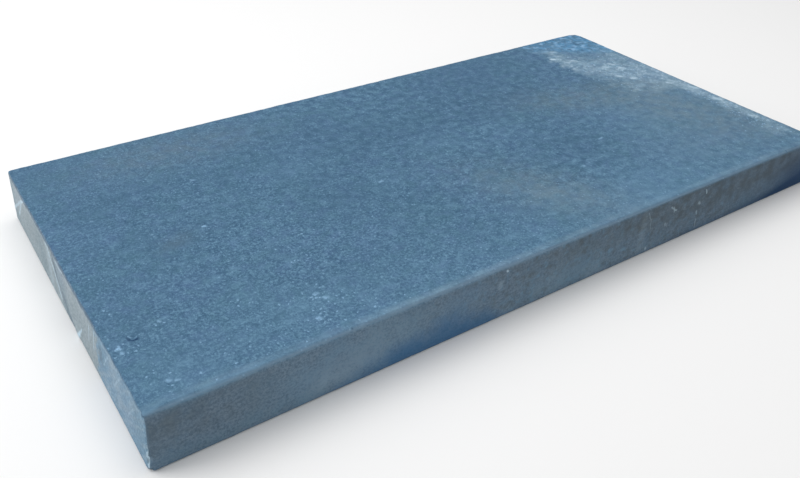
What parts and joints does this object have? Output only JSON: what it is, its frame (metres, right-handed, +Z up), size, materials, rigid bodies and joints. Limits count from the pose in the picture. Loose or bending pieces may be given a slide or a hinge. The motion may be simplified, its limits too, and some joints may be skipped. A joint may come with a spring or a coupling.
{
  "type": "limestone coping stone",
  "caption": "Flat rectangular coping slab of blue-grey limestone: textured top, sawn sides, eased arrises, lime bloom at one end. Lies on its bed face and butts end to end along a wall or edge.",
  "frame": {"origin": "middle of the bed, the flat underside that lies on the mortar", "axes": "+X along the stone's length, from the bare end to the end with the lime bloom; +Y from the front face to the back; +Z up, from the bed to the textured top"},
  "size_m": [0.6, 0.3, 0.042],
  "materials": {
    "limestone": "blue-grey limestone, fine textured top and diamond-sawn sides, matt, with pale lime bloom at one end and a pale skin on the other"
  },
  "bodies": {
    "root": {"coping_stone": "limestone"}
  },
  "joints": []
}
